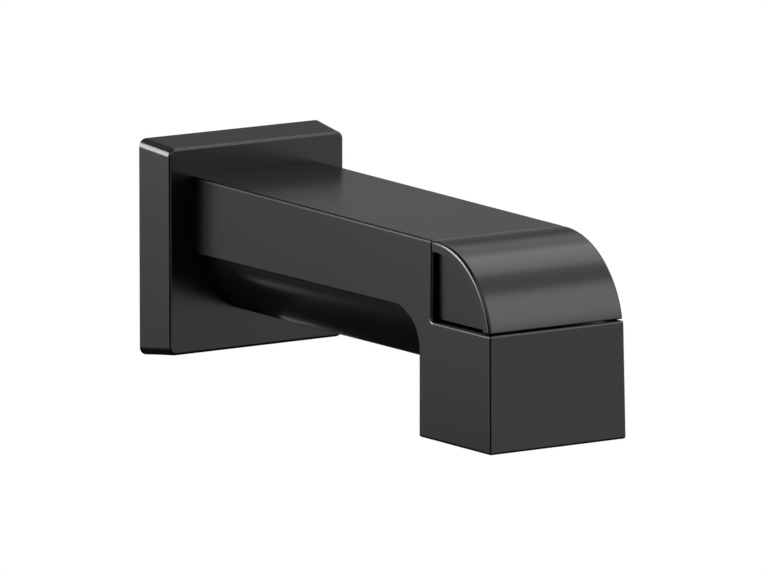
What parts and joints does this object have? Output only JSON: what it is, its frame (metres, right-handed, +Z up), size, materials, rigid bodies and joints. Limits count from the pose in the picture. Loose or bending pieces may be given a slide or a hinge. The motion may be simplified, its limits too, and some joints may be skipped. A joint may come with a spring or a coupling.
{
  "type": "bath spout",
  "caption": "Wall-mounted bath spout with a tapered square wall plate, a square beam on a round barrel, a drop-down outlet block and a pull-up diverter knob on its front corner.",
  "frame": {"origin": "centre of the wall face, at the mouth of the inlet bore on the axis of the supply pipe", "axes": "+Y into the wall along the pipe, so the spout reaches out along -Y; +X to the right as seen from the room; +Z up"},
  "size_m": [0.0666, 0.1746, 0.0717],
  "materials": {
    "black_finish": "satin matte black coating on die-cast metal",
    "foam_gasket": "closed-cell foam",
    "stainless_steel": "plain stainless steel",
    "bare_brass": "turned",
    "seal_rubber": "smooth moulded",
    "white_moulding": "natural acetal",
    "grey_moulding": "moulded acetal",
    "black_moulding": "moulded, lightly textured"
  },
  "bodies": {
    "spout": {"wall_plate": "black_finish", "wall_gasket": "foam_gasket", "spout_body": "black_finish", "plate_screws": "stainless_steel", "inlet_adapter": "bare_brass", "pipe_o_ring_rear": "seal_rubber", "pipe_o_ring_front": "seal_rubber", "adapter_o_ring": "seal_rubber", "pipe_set_screw": "stainless_steel", "waterway_tube": "white_moulding", "seat_gasket": "seal_rubber", "valve_housing": "grey_moulding", "outlet_frame": "black_moulding", "flow_straightener": "grey_moulding", "outlet_screws": "stainless_steel", "rod_guide": "bare_brass", "rod_o_ring": "seal_rubber", "guide_nut": "bare_brass", "stop_washer": "seal_rubber"},
    "diverter": {"diverter_knob": "black_finish", "lift_rod": "stainless_steel", "lock_nut": "bare_brass", "diverter_gate": "grey_moulding", "gate_seal": "seal_rubber", "upper_clip": "stainless_steel", "lower_clip": "stainless_steel"}
  },
  "joints": [
    {"name": "diverter_lift", "type": "slide", "parent": "spout", "child": "diverter", "axis": [0, 0, 1], "range_m": [0, 0.012]}
  ]
}
